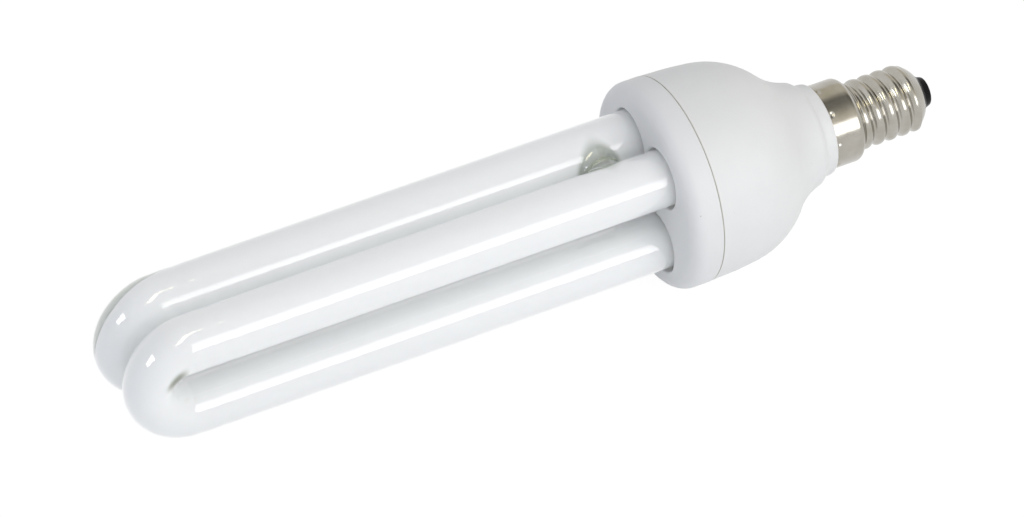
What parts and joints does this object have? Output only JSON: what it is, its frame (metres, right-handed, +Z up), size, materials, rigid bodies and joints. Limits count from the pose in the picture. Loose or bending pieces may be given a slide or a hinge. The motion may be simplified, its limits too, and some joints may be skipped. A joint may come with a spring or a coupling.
{
  "type": "energy saving bulb",
  "caption": "Compact fluorescent lamp with folded white glass tubes in a moulded collar, a domed ballast housing and a small screw cap.",
  "frame": {"origin": "centre of the bounding box's footprint, on the surface that the lamp lies on", "axes": "+X from the tube's bends towards the screw cap, +Z up; the lamp lies on its two bends and its collar's rim"},
  "size_m": [0.177, 0.0422, 0.0424],
  "materials": {
    "phosphor_coated_glass": "white phosphor inside clear glass, seen as opaque white",
    "white_collar_plastic": "moulded white flame-retardant plastic",
    "white_housing_plastic": "moulded white flame-retardant plastic, fine matt",
    "tube_cement": "grey-white filled cement",
    "nickel_plated_brass": "nickel plating on pressed brass, bright",
    "black_cap_glass": "fused black glass",
    "tinned_contact": "nickel-plated brass with solder",
    "board_laminate": "paper-phenolic laminate",
    "capacitor_sleeve": "shrunk sleeve over an aluminium can",
    "ferrite": "sintered ferrite, matt dark grey",
    "bobbin_plastic": "moulded bobbin plastic",
    "enamelled_copper": "enamelled copper wire, wound",
    "black_epoxy": "moulded black epoxy",
    "resistor_lacquer": "lacquered resistor body",
    "diode_glass": "orange-red sealed glass",
    "film_capacitor_epoxy": "dipped epoxy",
    "tinned_wire": "tinned copper wire"
  },
  "bodies": {
    "root": {"discharge_tube": "phosphor_coated_glass", "tube_collar": "white_collar_plastic", "tube_cement": "tube_cement", "rear_housing": "white_housing_plastic", "cap_shell": "nickel_plated_brass", "cap_insulator": "black_cap_glass", "centre_contact": "tinned_contact", "circuit_board": "board_laminate", "smoothing_capacitor": "capacitor_sleeve", "choke_core": "ferrite", "ring_core": "ferrite", "choke_bobbin": "bobbin_plastic", "choke_winding": "enamelled_copper", "ring_winding": "enamelled_copper", "transistor_1": "black_epoxy", "transistor_2": "black_epoxy", "diode_1": "black_epoxy", "diode_2": "black_epoxy", "diode_3": "black_epoxy", "diode_4": "black_epoxy", "resistor_1": "resistor_lacquer", "resistor_2": "resistor_lacquer", "start_resistor": "resistor_lacquer", "trigger_diode": "diode_glass", "film_capacitor": "film_capacitor_epoxy", "filter_inductor": "ferrite", "fusible_resistor": "resistor_lacquer", "live_wire": "tinned_wire", "neutral_wire": "tinned_wire", "lead_wire_1": "tinned_wire", "lead_wire_2": "tinned_wire", "lead_wire_3": "tinned_wire", "lead_wire_4": "tinned_wire"}
  },
  "joints": []
}
